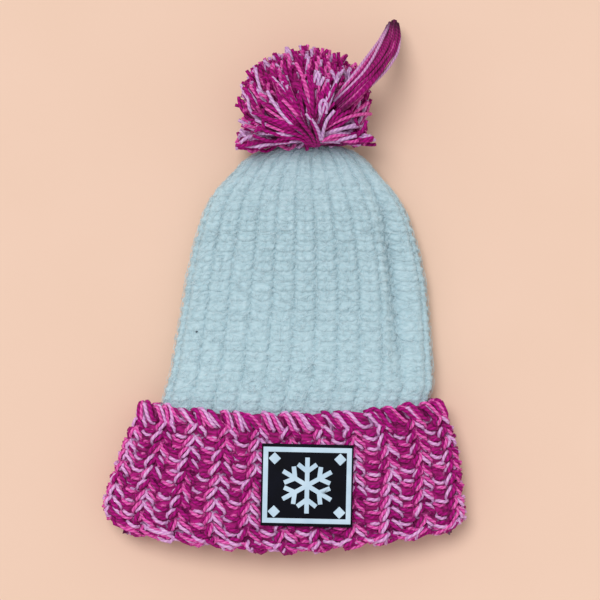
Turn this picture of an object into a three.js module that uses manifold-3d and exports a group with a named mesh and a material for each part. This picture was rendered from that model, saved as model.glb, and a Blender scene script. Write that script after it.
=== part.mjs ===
// A hand-knitted pom-pom hat that lies flat on its back, with the pom-pom away from the viewer.
// A wide turned-up cuff of chunky rib is folded at its lower edge. Its inner layer carries a finer
// ribbed crown, which narrows to a gathered end. A loose pom-pom of yarn is tied on there, with one
// long tail of yarn. A flat square patch with a raised frame and snowflake sits on the cuff's front.
// Units are millimetres. +X is to the right, +Y runs from the fold to the pom-pom, +Z is up.
import * as THREE from "three";
import { mergeVertices } from "three/addons/utils/BufferGeometryUtils.js";
import Module from "manifold-3d";

const wasm = await Module();
wasm.setup();

// Cuff
const cuffWidth = 240; // across the widest course, just above the fold
const cuffHeight = 91.6; // fold to top edge, along the middle
const cuffDepth = 40; // front to back, four layers and the hollow
const cuffWall = 7; // one layer of the chunky knit
const cuffRibs = 24; // knit columns all the way round
const cuffRibDepth = 2.4; // groove below crest
const cuffFoldBow = 16; // how far the fold curves up at its two ends
const foldBowPower = 1.5; // 2 is a parabola, and less is straighter
const cuffEdgeBow = 12; // the same for the top edge, reckoned at the fold's width
const cuffScallop = 1.6; // wave of both edges, from column to column
const cuffInnerHeight = 46; // the inner layer's top, where the crown begins
const layerGap = 0.8; // between the cuff's two layers, and between cuff and crown

// Crown
const crownWidth = 180; // across, where it leaves the cuff
const crownLength = 176.2; // cuff's top edge to gathered end
const crownDepth = 27; // front to back, half way up
const crownWall = 4.5; // the finer knit
const gatherWall = 6.5; // where its end is drawn together
const crownRibs = 24;
const crownRibDepth = 1.6;
const creaseDepth = 5; // the long fold down the right side
const creaseRib = 1.5; // the groove that the fold follows, counted from the right edge
const seatGap = 0.4; // between pieces that are sewn to each other
const seamGap = 0.3; // between the crown's rim and the cuff's inner layer

// Pom-pom
const pomWidth = 90;
const pomLength = 70; // along the hat
const pomHeight = 76; // before the table presses its underside flat
const pomFlattening = 3.5;
const pomCoreShare = 0.86; // the packed inside of the ball, as a share of its size
const pomLocks = 36; // bundles of strands that fan out of the tie
const pomLockRadius = 12.5; // of one bundle, near its cut end
const pomLockRagged = 0.06; // how unevenly the bundles are cut, as a share of their reach
const pomOverlap = 7.2; // how far the ball would reach back past the crown's end
const pomShift = 5; // its middle lies to the left of the gather
const partingSlope = 0.12; // lean of the face that opens towards the crown

// Tie: the loop of yarn that binds the strands and sews them on
const tieRadius = 3.9;
const tieYarnRadius = 1.5;
const tieOffset = 9; // to the right of the gather

// Tail of long strands
const tailLength = 80; // root to tip, along its own curve
const tailWidth = 15.6;
const tailDepth = 9;

// Patch
const patchWidth = 59;
const patchHeight = 53;
const patchThickness = 1.4;
const patchCentreX = 14.6; // right of the cuff's middle
const patchCentreY = 45.8; // above the fold
const patchTurn = -1.2; // degrees, as it was sewn on
const reliefThickness = 0.6; // how far the frame and the snowflake stand up
const frameMarginX = 1;
const frameMarginY = 2;
const frameBar = 3.2;
const flakeRadius = 18;
const flakeBar = 2.9;
const flakeFork = 0.5; // where the side branches leave an arm, as a share of the radius
const flakeBranch = 7.6; // length of a side branch
const flakeBranchTurn = 53; // degrees from its arm
const diamondSide = 5.6; // of the small diamond in each corner
const diamondInset = 4.2; // from its middle to the frame's inner edge
const clearance = 0.3; // between the patch and the highest column under it

// Shape tables. Each row is one section, and its numbers are shares of the sizes named above it.
// v: 0 at the fold, 1 at the top edge. width: of cuffWidth. shift: of cuffWidth, to the right.
const cuffSections = [
  { v: 0.0, width: 0.92, shift: 0.011 },
  { v: 0.07, width: 0.981, shift: 0.006 },
  { v: 0.17, width: 1.0, shift: -0.001 },
  { v: 0.26, width: 0.987, shift: -0.001 },
  { v: 0.39, width: 0.97, shift: 0.004 },
  { v: 0.57, width: 0.939, shift: 0.012 },
  { v: 0.7, width: 0.913, shift: 0.014 },
  { v: 0.82, width: 0.88, shift: 0.017 },
  { v: 0.92, width: 0.843, shift: 0.018 },
  { v: 1.0, width: 0.828, shift: 0.016 },
];
// along: 0 at the cuff's top edge, 1 at the gathered end. width, shift to the right: of crownWidth.
// inCuff: how much the cuff still holds the section up. back, front: its faces' heights, of crownDepth.
const crownSections = [
  { along: 0.0, width: 0.97, shift: 0.036, inCuff: 1.0, back: 0.0, front: 1.0 },
  { along: 0.05, width: 0.966, shift: 0.04, inCuff: 1.0, back: 0.0, front: 1.0 },
  { along: 0.1, width: 0.974, shift: 0.055, inCuff: 0.8, back: 0.0, front: 1.0 },
  { along: 0.16, width: 0.953, shift: 0.063, inCuff: 0.5, back: 0.0, front: 1.0 },
  { along: 0.27, width: 0.93, shift: 0.068, inCuff: 0.12, back: 0.0, front: 1.0 },
  { along: 0.38, width: 0.902, shift: 0.074, inCuff: 0.0, back: 0.0, front: 1.0 },
  { along: 0.49, width: 0.873, shift: 0.076, inCuff: 0.0, back: 0.0, front: 1.0 },
  { along: 0.6, width: 0.828, shift: 0.076, inCuff: 0.0, back: 0.0, front: 1.0 },
  { along: 0.71, width: 0.762, shift: 0.074, inCuff: 0.0, back: 0.0, front: 1.02 },
  { along: 0.77, width: 0.711, shift: 0.072, inCuff: 0.0, back: 0.0, front: 1.04 },
  { along: 0.82, width: 0.645, shift: 0.07, inCuff: 0.0, back: 0.02, front: 1.06 },
  { along: 0.88, width: 0.538, shift: 0.074, inCuff: 0.0, back: 0.06, front: 1.08 },
  { along: 0.93, width: 0.45, shift: 0.074, inCuff: 0.0, back: 0.14, front: 1.1 },
  { along: 0.963, width: 0.36, shift: 0.08, inCuff: 0.0, back: 0.26, front: 1.08 },
  { along: 0.987, width: 0.22, shift: 0.091, inCuff: 0.0, back: 0.42, front: 1.0 },
];
const gather = { shift: 0.1, height: 0.74 }; // the crown's last point, of crownWidth and crownDepth

// along: 0 at the root, 1 at the tip. right, forward: of tailLength. height: of pomHeight.
// width, depth: of tailWidth and tailDepth.
const tailSections = [
  { along: 0.0, right: 0.0, forward: 0.0, height: 0.82, width: 0.75, depth: 0.8 },
  { along: 0.17, right: 0.11, forward: 0.1, height: 0.88, width: 0.92, depth: 1.0 },
  { along: 0.34, right: 0.22, forward: 0.22, height: 0.82, width: 1.0, depth: 1.0 },
  { along: 0.51, right: 0.32, forward: 0.35, height: 0.67, width: 1.05, depth: 1.0 },
  { along: 0.68, right: 0.4, forward: 0.48, height: 0.48, width: 1.02, depth: 0.9 },
  { along: 0.84, right: 0.44, forward: 0.6, height: 0.31, width: 0.86, depth: 0.8 },
  { along: 1.0, right: 0.455, forward: 0.715, height: 0.19, width: 0.52, depth: 0.6 },
];
// along: 0 at the tie, 1 at the cut end. radius: of pomLockRadius.
const lockSections = [
  { along: 0, radius: 0 },
  { along: 0.78, radius: 1 },
  { along: 0.94, radius: 0.72 },
  { along: 1, radius: 0 },
];
const tailRoot = { right: 0.24, forward: -0.09 }; // from the ball's middle, of pomWidth and pomLength
const tailLobes = 5; // bundles that show along the tail
const tailLobeDepth = 0.12; // of its half width

// The round of the hat
const ovalSquareness = 2.6; // 2 is an ellipse, and more is flatter across the front
const restFlattening = 2.5; // how much of the round underside the table presses flat
const edgeRounding = 0.22; // of the cuff's wall, at its top edge
const foldRounding = 0.12; // of the fold's whole thickness

// Where the meshes have their rings and points
const stepsPerRib = 4;
const lockSides = 6;
const tailSides = 20;
const outsideCourses = [0.95, 0.82, 0.68, 0.52, 0.36, 0.22, 0.1]; // v
const foldCourse = 0.025; // v
const insideCourses = [0.1, 0.5, 0.96]; // v
const liningShares = [0.25, 0.6, 1]; // 0 at the fold, 1 at the inner layer's top
const innerLayerShares = [1, 0.5];
const crownInsideAlongs = [0.94, 0.82, 0.6, 0.38, 0.25, 0.1]; // along

const { lerp, degToRad, smoothstep } = THREE.MathUtils;

// One column of a table, at any place between its rows.
function between(table, key, place, column) {
  const above = table.findIndex((row) => row[key] >= place);
  const to = table.at(above < 0 ? -1 : Math.max(1, above));
  const from = table[table.indexOf(to) - 1];
  return lerp(from[column], to[column], (place - from[key]) / (to[key] - from[key]));
}

// A flattened oval across the hat, from its right end over the front.
class Oval extends THREE.Curve {
  constructor(halfWidth, halfDepth) {
    super();
    this.halfWidth = halfWidth;
    this.halfDepth = halfDepth;
    this.arcLengthDivisions = 720;
  }
  getPoint(t) {
    const side = Math.cos(2 * Math.PI * t);
    const up = Math.sin(2 * Math.PI * t);
    const power = 2 / ovalSquareness;
    return new THREE.Vector3(
      this.halfWidth * Math.sign(side) * Math.abs(side) ** power,
      0,
      this.halfDepth * Math.sign(up) * Math.abs(up) ** power,
    );
  }
}

// One ring of points round the hat. section gives its outer face: halfWidth, centre, back, front
// and level(x, u). The points lie inside that face by depth, and by relief(u) more, with u from 0 to 1
// round the ring. The underside is flat, at the height where the hat rests.
function ring(section, count, depth, relief = () => 0) {
  const halfDepth = (section.front - section.back + restFlattening) / 2;
  const middle = section.front - halfDepth;
  const even = new Oval(section.halfWidth, halfDepth).getSpacedPoints(count);
  return even.slice(0, count).map((p, i) => {
    const inward = depth + relief(i / count);
    const x = section.centre + p.x * (1 - inward / section.halfWidth);
    const z = middle + p.z * (1 - inward / halfDepth);
    return new THREE.Vector3(x, section.level(x, i / count), Math.max(z, section.back + depth));
  });
}

// A closed surface through rings of equally many points. poles are end points that close an open stack,
// and a stack without them joins its last ring to its first.
function skin(rings, poles) {
  const count = rings[0].length;
  const points = rings.flat();
  const faces = [];
  const joins = poles ? rings.length - 1 : rings.length;
  for (let r = 0; r < joins; r++) {
    const a = r * count;
    const b = ((r + 1) % rings.length) * count;
    for (let i = 0; i < count; i++) {
      const j = (i + 1) % count;
      faces.push(a + i, a + j, b + j, a + i, b + j, b + i);
    }
  }
  if (poles) {
    const first = points.push(poles[0]) - 1;
    const last = points.push(poles[1]) - 1;
    const end = (rings.length - 1) * count;
    for (let i = 0; i < count; i++) {
      const j = (i + 1) % count;
      faces.push(first, j, i, last, end + i, end + j);
    }
  }
  const geometry = new THREE.BufferGeometry().setFromPoints(points);
  geometry.setIndex(faces);
  return geometry;
}

// 0 on the crest of a rib and 1 in the groove between two. A crest runs up the right edge.
function groove(u, ribs) {
  return 0.5 - 0.5 * Math.cos(2 * Math.PI * ribs * u);
}

// Solids for the joins and cuts
function solidOf(geometry) {
  const plain = new THREE.BufferGeometry().setAttribute("position", geometry.getAttribute("position"));
  plain.setIndex(geometry.index);
  const merged = mergeVertices(plain, 1e-4);
  const triVerts = new Uint32Array(merged.index.array);
  const vertProperties = merged.attributes.position.array;
  return new wasm.Manifold(new wasm.Mesh({ numProp: 3, vertProperties, triVerts }));
}

function geometryOf(solid) {
  const mesh = solid.getMesh();
  const geometry = new THREE.BufferGeometry();
  geometry.setAttribute("position", new THREE.BufferAttribute(new Float32Array(mesh.vertProperties), 3));
  geometry.setIndex(new THREE.BufferAttribute(new Uint32Array(mesh.triVerts), 1));
  return geometry;
}

// Cuff

// The height of a course above the fold, at x. Grooves fall short of the crests by the scallop.
function cuffLevel(v, x, u) {
  const aside = Math.abs(x) / (cuffWidth / 2);
  const wave = cuffScallop * groove(u, cuffRibs);
  const fold = foldLevel(x) + wave * (1 - smoothstep(v, 0, 0.12));
  const edge = cuffHeight + cuffEdgeBow * aside ** 2 - wave * smoothstep(v, 0.88, 1);
  return lerp(fold, edge, v);
}

function foldLevel(x) {
  return cuffFoldBow * (Math.abs(x) / (cuffWidth / 2)) ** foldBowPower;
}

const cuffCount = cuffRibs * stepsPerRib;

function cuffOuter(v) {
  return {
    halfWidth: (cuffWidth / 2) * between(cuffSections, "v", v, "width"),
    centre: cuffWidth * between(cuffSections, "v", v, "shift"),
    back: 0,
    front: cuffDepth,
    level: (x, u) => cuffLevel(v, x, u),
  };
}

// The crown's rim and the top of the cuff's inner layer share this section.
const rimHalfWidth = crownWidth / 2;
const rimCentre = (crownWidth * crownSections[0].shift) / 2;
const heldBack = cuffWall + layerGap;
const heldFront = cuffDepth - cuffWall - layerGap;
const foldInnerHalfWidth = (cuffWidth / 2) * between(cuffSections, "v", 0.1, "width") - cuffWall - layerGap;

// share: 0 at the fold, 1 at the inner layer's top.
function cuffInner(share) {
  return {
    halfWidth: lerp(foldInnerHalfWidth, rimHalfWidth, share),
    centre: lerp(0, rimCentre, share),
    back: heldBack,
    front: heldFront,
    level: (x) => lerp(foldLevel(x), cuffInnerHeight, share),
  };
}

const cuffGrooves = (u) => cuffRibDepth * groove(u, cuffRibs);
const edgeRound = cuffWall * edgeRounding;
const foldDepth = 2 * cuffWall + layerGap;
const foldLip = foldDepth * foldRounding;

// Down the outside, round the fold, up the lining, and back down and up between the two layers.
const cuffRings = [
  ring(cuffOuter(1), cuffCount, edgeRound, cuffGrooves),
  ...outsideCourses.map((v) => ring(cuffOuter(v), cuffCount, 0, cuffGrooves)),
  ring(cuffOuter(foldCourse), cuffCount, foldLip, cuffGrooves),
  ring(cuffOuter(0), cuffCount, foldDepth / 2),
  ring(cuffOuter(foldCourse), cuffCount, foldDepth - foldLip),
  ...liningShares.map((share) => ring(cuffInner(share), cuffCount, cuffWall)),
  ...innerLayerShares.map((share) => ring(cuffInner(share), cuffCount, 0)),
  ...insideCourses.map((v) => ring(cuffOuter(v), cuffCount, cuffWall)),
  ring(cuffOuter(1), cuffCount, cuffWall - edgeRound),
];

// Crown
const crownCount = crownRibs * stepsPerRib;
const rimY = cuffInnerHeight + seamGap;

function crownSection(along) {
  const held = between(crownSections, "along", along, "inCuff");
  const y = cuffHeight + crownLength * along;
  return {
    halfWidth: (crownWidth / 2) * between(crownSections, "along", along, "width"),
    centre: crownWidth * between(crownSections, "along", along, "shift"),
    back: held * heldBack + crownDepth * between(crownSections, "along", along, "back"),
    front: lerp(crownDepth * between(crownSections, "along", along, "front"), heldFront, held),
    level: () => y,
  };
}

const rimSection = {
  halfWidth: rimHalfWidth,
  centre: rimCentre,
  back: heldBack,
  front: heldFront,
  level: () => rimY,
};

// The long fold on the right presses both faces in, deepest half way up.
function crease(u, along) {
  const away = crownRibs * u - creaseRib;
  return creaseDepth * Math.exp(-4 * away * away) * Math.sin(Math.PI * smoothstep(along, -0.1, 1.05));
}

// Ribs run out as the gathers close.
function crownRelief(u, along) {
  const strength = 1 - 0.6 * smoothstep(along, 0.85, 1);
  return crownRibDepth * strength * groove(u, crownRibs) + crease(u, along);
}

function crownRing(along, depth, relief) {
  return ring(crownSection(along), crownCount, depth, (u) => relief(u, along));
}

const crownEndY = cuffHeight + crownLength;
const gatherPoint = new THREE.Vector3(crownWidth * gather.shift, crownEndY, crownDepth * gather.height);
const innerGather = gatherPoint.clone().setY(crownEndY - gatherWall);
const crownAlongs = crownSections.map((row) => row.along);

const crownRings = [
  ...crownAlongs.toReversed().map((along) => crownRing(along, 0, crownRelief)),
  ring(rimSection, crownCount, 0, (u) => crownRibDepth * groove(u, crownRibs)),
  ring(rimSection, crownCount, crownWall),
  ...crownInsideAlongs.toReversed().map((along) => crownRing(along, crownWall, crease)),
];

// Pom-pom
const pomCentre = new THREE.Vector3(
  gatherPoint.x - pomShift,
  crownEndY + pomLength / 2 - pomOverlap,
  pomHeight / 2 - pomFlattening,
);
const pomRadii = new THREE.Vector3(pomWidth / 2, pomLength / 2, pomHeight / 2);
const tiePoint = gatherPoint.clone().setZ(crownDepth);

function ball(share) {
  const shape = new THREE.IcosahedronGeometry(1, 3);
  shape.scale(...pomRadii.clone().multiplyScalar(share).toArray());
  return shape.translate(...pomCentre.toArray());
}

// A bundle of strands: a cone that opens from near the tie to its blunt cut end on the ball.
function lock(index) {
  const turn = index * Math.PI * (3 - Math.sqrt(5));
  const up = 1 - (2 * (index + 0.5)) / pomLocks;
  const flat = Math.sqrt(1 - up * up);
  const onBall = new THREE.Vector3(flat * Math.cos(turn), up, flat * Math.sin(turn));
  const reach = 1 - pomLockRagged / 2 + pomLockRagged * Math.sin(turn);
  const tip = onBall.clone().multiply(pomRadii).multiplyScalar(reach).add(pomCentre);
  const root = tiePoint.clone().lerp(pomCentre, 0.5);
  const axis = tip.clone().sub(root);
  const length = axis.length();
  const profile = lockSections.map(
    (row) => new THREE.Vector2(pomLockRadius * row.radius, length * row.along),
  );
  const lathed = new THREE.Vector3(0, 1, 0);
  const shape = new THREE.LatheGeometry(profile, lockSides, turn);
  shape.applyQuaternion(new THREE.Quaternion().setFromUnitVectors(lathed, axis.normalize()));
  return shape.translate(...root.toArray());
}

// Tail
const tailStart = pomCentre.clone().add(
  new THREE.Vector3(pomWidth * tailRoot.right, pomLength * tailRoot.forward, 0),
);
const tailPath = new THREE.CatmullRomCurve3(
  tailSections.map(
    (row) =>
      new THREE.Vector3(
        tailStart.x + tailLength * row.right,
        tailStart.y + tailLength * row.forward,
        pomHeight * row.height,
      ),
  ),
);

// grown is added all round, for the socket in the pom-pom.
function tailSkin(grown) {
  const rings = tailSections.map((row) => {
    const centre = tailPath.getPointAt(row.along);
    const ahead = tailPath.getTangentAt(row.along);
    const across = new THREE.Vector3().crossVectors(ahead, new THREE.Vector3(0, 0, 1)).normalize();
    const over = new THREE.Vector3().crossVectors(ahead, across);
    return Array.from({ length: tailSides }, (_, i) => {
      const angle = (2 * Math.PI * i) / tailSides;
      const lobe = 1 - tailLobeDepth * (0.5 + 0.5 * Math.cos(tailLobes * angle));
      const side = Math.cos(angle) * ((tailWidth / 2) * row.width * lobe + grown);
      const high = Math.sin(angle) * ((tailDepth / 2) * row.depth * lobe + grown);
      return centre.clone().addScaledVector(across, side).addScaledVector(over, high);
    });
  });
  const start = tailPath.getPointAt(0).addScaledVector(tailPath.getTangentAt(0), -grown);
  const end = tailPath.getPointAt(1).addScaledVector(tailPath.getTangentAt(1), grown);
  return skin(rings, [start, end]);
}

// Tie
function tieRing(grown) {
  const shape = new THREE.TorusGeometry(tieRadius, tieYarnRadius + grown, 6, 12);
  shape.rotateX(-Math.atan(partingSlope));
  const place = new THREE.Vector3(tieOffset, tieRadius, tieYarnRadius + tieRadius / 2);
  return shape.translate(...place.add(tiePoint).toArray());
}

// The crown's outer face near its end, grown by the gap, which the pom-pom sits round.
function crownEnd() {
  const alongs = crownAlongs.filter((along) => along > 0.5).toReversed();
  const rings = alongs.map((along) => crownRing(along, -seatGap, () => 0));
  const top = gatherPoint.clone().setY(crownEndY + seatGap);
  const lowest = crownSection(alongs.at(-1));
  const bottom = new THREE.Vector3(lowest.centre, lowest.level(), (lowest.back + lowest.front) / 2);
  return skin(rings, [top, bottom]);
}

function pomSolid() {
  let solid = solidOf(ball(pomCoreShare));
  for (let i = 0; i < pomLocks; i++) solid = solid.add(solidOf(lock(i)));
  const opens = new THREE.Vector3(0, 1, -partingSlope).normalize();
  solid = solid.trimByPlane(opens.toArray(), tiePoint.dot(opens));
  solid = solid.trimByPlane([0, 0, 1], 0);
  for (const neighbour of [crownEnd(), tailSkin(seatGap), tieRing(seatGap)]) {
    solid = solid.subtract(solidOf(neighbour));
  }
  return solid;
}

// Patch
function bar(width, length, thickness) {
  return new THREE.BoxGeometry(width, length, thickness);
}

function frameShape() {
  const halfW = patchWidth / 2 - frameMarginX;
  const halfH = patchHeight / 2 - frameMarginY;
  const outer = new THREE.Shape();
  outer.moveTo(-halfW, -halfH).lineTo(halfW, -halfH).lineTo(halfW, halfH).lineTo(-halfW, halfH).closePath();
  const hole = new THREE.Path();
  const holeW = halfW - frameBar;
  const holeH = halfH - frameBar;
  hole.moveTo(-holeW, -holeH).lineTo(-holeW, holeH).lineTo(holeW, holeH).lineTo(holeW, -holeH).closePath();
  outer.holes.push(hole);
  return new THREE.ExtrudeGeometry(outer, { depth: reliefThickness, bevelEnabled: false });
}

// Six arms with a pair of side branches each, joined into one piece.
function snowflakeSolid() {
  let solid = solidOf(bar(flakeBar, 2 * flakeRadius, reliefThickness));
  for (let arm = 0; arm < 6; arm++) {
    const turn = (arm * Math.PI) / 3;
    const stem = bar(flakeBar, flakeRadius, reliefThickness);
    solid = solid.add(solidOf(stem.translate(0, flakeRadius / 2, 0).rotateZ(turn)));
    for (const side of [-1, 1]) {
      const twig = bar(flakeBar, flakeBranch, reliefThickness);
      twig.translate(0, flakeBranch / 2, 0);
      twig.rotateZ(side * degToRad(flakeBranchTurn));
      twig.translate(0, flakeRadius * flakeFork, 0).rotateZ(turn);
      solid = solid.add(solidOf(twig));
    }
  }
  return solid;
}

// A flat square plate that stands on one corner.
function diamondShape() {
  return new THREE.BoxGeometry(diamondSide, diamondSide, reliefThickness).rotateZ(Math.PI / 4);
}

// Assembly
function piece(name, geometry, color, roughness) {
  geometry.computeVertexNormals();
  const mesh = new THREE.Mesh(geometry, new THREE.MeshStandardMaterial({ color, roughness, metalness: 0 }));
  mesh.name = name;
  return mesh;
}

const magenta = 0xa01c6a;
const iceBlue = 0xb4d2dc;
const nearBlack = 0x10131c;
const paleBlue = 0xb6d3e6;

const hat = new THREE.Group();
hat.add(piece("cuff", skin(cuffRings), magenta, 0.9));
hat.add(piece("crown", skin(crownRings, [gatherPoint, innerGather]), iceBlue, 0.95));
hat.add(piece("pompom", geometryOf(pomSolid()), magenta, 0.9));
hat.add(piece("pompom_tie", tieRing(0), magenta, 0.9));
hat.add(piece("pompom_tail", tailSkin(0), magenta, 0.9));

const patch = new THREE.Group();
patch.position.set(patchCentreX, patchCentreY, cuffDepth + clearance);
patch.rotation.z = degToRad(patchTurn);
const base = piece("patch_base", bar(patchWidth, patchHeight, patchThickness), nearBlack, 0.5);
base.position.z = patchThickness / 2;
const frame = piece("patch_frame", frameShape(), paleBlue, 0.6);
frame.position.z = patchThickness;
const flake = piece("patch_snowflake", geometryOf(snowflakeSolid()), paleBlue, 0.6);
flake.position.z = patchThickness + reliefThickness / 2;
patch.add(base, frame, flake);
const corners = [
  { name: "lower_left", right: -1, up: -1 },
  { name: "lower_right", right: 1, up: -1 },
  { name: "upper_left", right: -1, up: 1 },
  { name: "upper_right", right: 1, up: 1 },
];
const diamondX = patchWidth / 2 - frameMarginX - frameBar - diamondInset;
const diamondY = patchHeight / 2 - frameMarginY - frameBar - diamondInset;
for (const { name, right, up } of corners) {
  const diamond = piece(`patch_diamond_${name}`, diamondShape(), paleBlue, 0.6);
  diamond.position.set(right * diamondX, up * diamondY, patchThickness + reliefThickness / 2);
  patch.add(diamond);
}
hat.add(patch);

// The frame's origin is on the table, under the middle of the whole hat.
const bounds = new THREE.Box3().setFromObject(hat, true);
const middle = bounds.getCenter(new THREE.Vector3());
hat.position.set(-middle.x, -middle.y, -bounds.min.z);

const part = new THREE.Group();
part.add(hat);

export default part;
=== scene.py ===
# %% [markdown]
# # A hand-knitted pom-pom hat
# The hat lies flat on its back on a pale table: a deep turned-up cuff in three pink yarns, an ice-blue
# ribbed crown, a loose pom-pom with one long tail, and a small rubbery patch. This lesson dresses its packed
# solids in real yarn: every stitch that shows is a bent tube, not a picture.

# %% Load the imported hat
import math

import bpy
import numpy as np
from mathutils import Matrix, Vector


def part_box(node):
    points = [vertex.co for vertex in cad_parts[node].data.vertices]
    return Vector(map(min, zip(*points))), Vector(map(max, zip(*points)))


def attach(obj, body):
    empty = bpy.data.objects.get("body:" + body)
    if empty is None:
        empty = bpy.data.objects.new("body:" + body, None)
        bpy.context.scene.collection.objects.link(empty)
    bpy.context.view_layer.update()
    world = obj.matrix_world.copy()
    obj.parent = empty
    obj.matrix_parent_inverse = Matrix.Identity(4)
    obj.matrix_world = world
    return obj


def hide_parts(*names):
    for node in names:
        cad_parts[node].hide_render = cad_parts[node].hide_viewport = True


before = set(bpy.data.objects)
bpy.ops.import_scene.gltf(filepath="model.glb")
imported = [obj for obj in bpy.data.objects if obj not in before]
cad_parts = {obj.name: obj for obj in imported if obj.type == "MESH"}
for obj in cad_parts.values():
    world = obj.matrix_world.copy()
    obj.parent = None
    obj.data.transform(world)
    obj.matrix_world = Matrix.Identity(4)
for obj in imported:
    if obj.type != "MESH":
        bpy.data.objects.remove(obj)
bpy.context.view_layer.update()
print("packed nodes:", sorted(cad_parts))

# %% [markdown]
# ## Where things are
# Lengths are written in millimetres, as a knitter would measure them, and turned into metres with MM.
# The tables of sections repeat those of the solids: each place in a table is one cross-section, in shares
# of the sizes named above it. Of the solids' own sizes in the next cell, only the cuff's rib count and the
# crease's depth are changed here, to agree better with the photograph. The patch's solid tells how far the
# hat was shifted to bring its middle to the origin.

# %% Sizes of the hat
MM = 0.001
CUFF_WIDTH = 240 * MM
CUFF_HEIGHT = 91.6 * MM
CUFF_DEPTH = 40 * MM
CUFF_WALL = 7 * MM
CUFF_FOLD_BOW = 16 * MM
CUFF_FOLD_POWER = 1.5
CUFF_EDGE_BOW = 12 * MM
CUFF_SCALLOP = 1.6 * MM
CUFF_INNER_HEIGHT = 46 * MM
LAYER_GAP = 0.8 * MM
CROWN_WIDTH = 180 * MM
CROWN_LENGTH = 176.2 * MM
CROWN_DEPTH = 27 * MM
CREASE_DEPTH = 7 * MM
CREASE_RIB = 1.5
CROWN_RIBS = 24
CUFF_RIBS = 22
SQUARENESS = 2.6
REST_FLATTENING = 2.5 * MM
FLOOR_GAP = 0.3 * MM
PATCH_CENTRE = Vector((14.6, 45.8)) * MM

plate_low, plate_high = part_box("patch_base")
HAT_SHIFT = (plate_low + plate_high).to_2d() / 2 - PATCH_CENTRE
print("hat shifted by", [round(v / MM, 2) for v in HAT_SHIFT], "mm")

# %% Sections of the cuff and of the crown
# v: 0 at the fold, 1 at the top edge. width and shift: of CUFF_WIDTH.
CUFF_SECTIONS = {
    "v": [0, 0.07, 0.17, 0.26, 0.39, 0.57, 0.7, 0.82, 0.92, 1],
    "width": [0.92, 0.981, 1, 0.987, 0.97, 0.939, 0.913, 0.88, 0.843, 0.828],
    "shift": [0.011, 0.006, -0.001, -0.001, 0.004, 0.012, 0.014, 0.017, 0.018, 0.016],
}
# along: 0 at the cuff's top edge, 1 at the gathered end. width and shift: of CROWN_WIDTH.
# held: how much the cuff still holds the section up. back and front: of CROWN_DEPTH.
CROWN_SECTIONS = {
    "along": [0, 0.05, 0.1, 0.16, 0.27, 0.38, 0.49, 0.6, 0.71, 0.77, 0.82, 0.88, 0.93, 0.963, 0.987],
    "width": [0.97, 0.966, 0.974, 0.953, 0.93, 0.902, 0.873, 0.828, 0.762, 0.711, 0.645, 0.538, 0.45,
              0.36, 0.22],
    "shift": [0.036, 0.04, 0.055, 0.063, 0.068, 0.074, 0.076, 0.076, 0.074, 0.072, 0.07, 0.074, 0.074,
              0.08, 0.091],
    "held": [1, 1, 0.8, 0.5, 0.12, 0, 0, 0, 0, 0, 0, 0, 0, 0, 0],
    "back": [0, 0, 0, 0, 0, 0, 0, 0, 0, 0, 0.02, 0.06, 0.14, 0.26, 0.42],
    "front": [1, 1, 1, 1, 1, 1, 1, 1, 1.02, 1.04, 1.06, 1.08, 1.1, 1.08, 1],
}

# %% [markdown]
# ## The camera and the light
# The photograph looks straight down from far away, so a long lens stands over the table. The light is a
# bright, even room with one large soft lamp at the upper left, whose shadow falls to the lower right.

# %% Camera straight above
PIXEL = 0.65 * MM
PICTURE_PIXELS = 600
PICTURE_CENTRE = Vector((10.1, -9.1)) * MM
LENS = 200
SENSOR = 36
HAT_MIDDLE_HEIGHT = 20 * MM

camera_data = bpy.data.cameras.new("camera")
camera_data.lens = LENS
camera_data.sensor_width = SENSOR
camera = bpy.data.objects.new("camera", camera_data)
distance = PIXEL * PICTURE_PIXELS * LENS / SENSOR
camera.location = (PICTURE_CENTRE.x, PICTURE_CENTRE.y, HAT_MIDDLE_HEIGHT + distance)
bpy.context.scene.collection.objects.link(camera)
bpy.context.scene.camera = camera
print("camera is", round(distance, 3), "m above the hat")

# %% Lamp, room light and view
ROOM_COLOUR = (1, 0.985, 0.97, 1)
ROOM_STRENGTH = 0.6
LAMP_PLACE = Vector((-0.3, 0.46, 1.35))
LAMP_SPREAD = math.radians(28)
LAMP_STRENGTH = 1.66

scene = bpy.context.scene
scene.view_settings.view_transform = "Standard"
scene.view_settings.look = "None"

world = bpy.data.worlds.new("room")
world.use_nodes = True
background = world.node_tree.nodes["Background"]
background.inputs["Color"].default_value = ROOM_COLOUR
background.inputs["Strength"].default_value = ROOM_STRENGTH
scene.world = world

# A sun lamp is equally bright everywhere. Its angle is how wide it looks from the table.
lamp_data = bpy.data.lights.new("window_lamp", "SUN")
lamp_data.angle = LAMP_SPREAD
lamp_data.energy = LAMP_STRENGTH
lamp = bpy.data.objects.new("window_lamp", lamp_data)
lamp.location = LAMP_PLACE
lamp.rotation_euler = (-LAMP_PLACE).to_track_quat("-Z", "Y").to_euler()
scene.collection.objects.link(lamp)

# %% [markdown]
# ## The round of the hat
# A cross-section is a flattened oval with its underside pressed flat by the table. Its points are spread
# evenly along its length, because the knitted columns are evenly wide. A face of the fabric is a grid of
# such ovals. Where a stitch goes is then said in the knitter's own terms: how many rows up, how far round,
# and how deep below the face.


# %% Ovals with evenly spread points
TURNS = np.arange(480) / 480


def even_oval(half_width, half_depth):
    """Points of an oval, evenly spread, from its right end over the front: x and z for each of TURNS."""
    angle = np.linspace(0, 2 * np.pi, 1441)
    x = half_width * np.sign(np.cos(angle)) * np.abs(np.cos(angle)) ** (2 / SQUARENESS)
    z = half_depth * np.sign(np.sin(angle)) * np.abs(np.sin(angle)) ** (2 / SQUARENESS)
    length = np.concatenate([[0], np.cumsum(np.hypot(np.diff(x), np.diff(z)))])
    where = TURNS * length[-1]
    return np.interp(where, length, x), np.interp(where, length, z)


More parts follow.
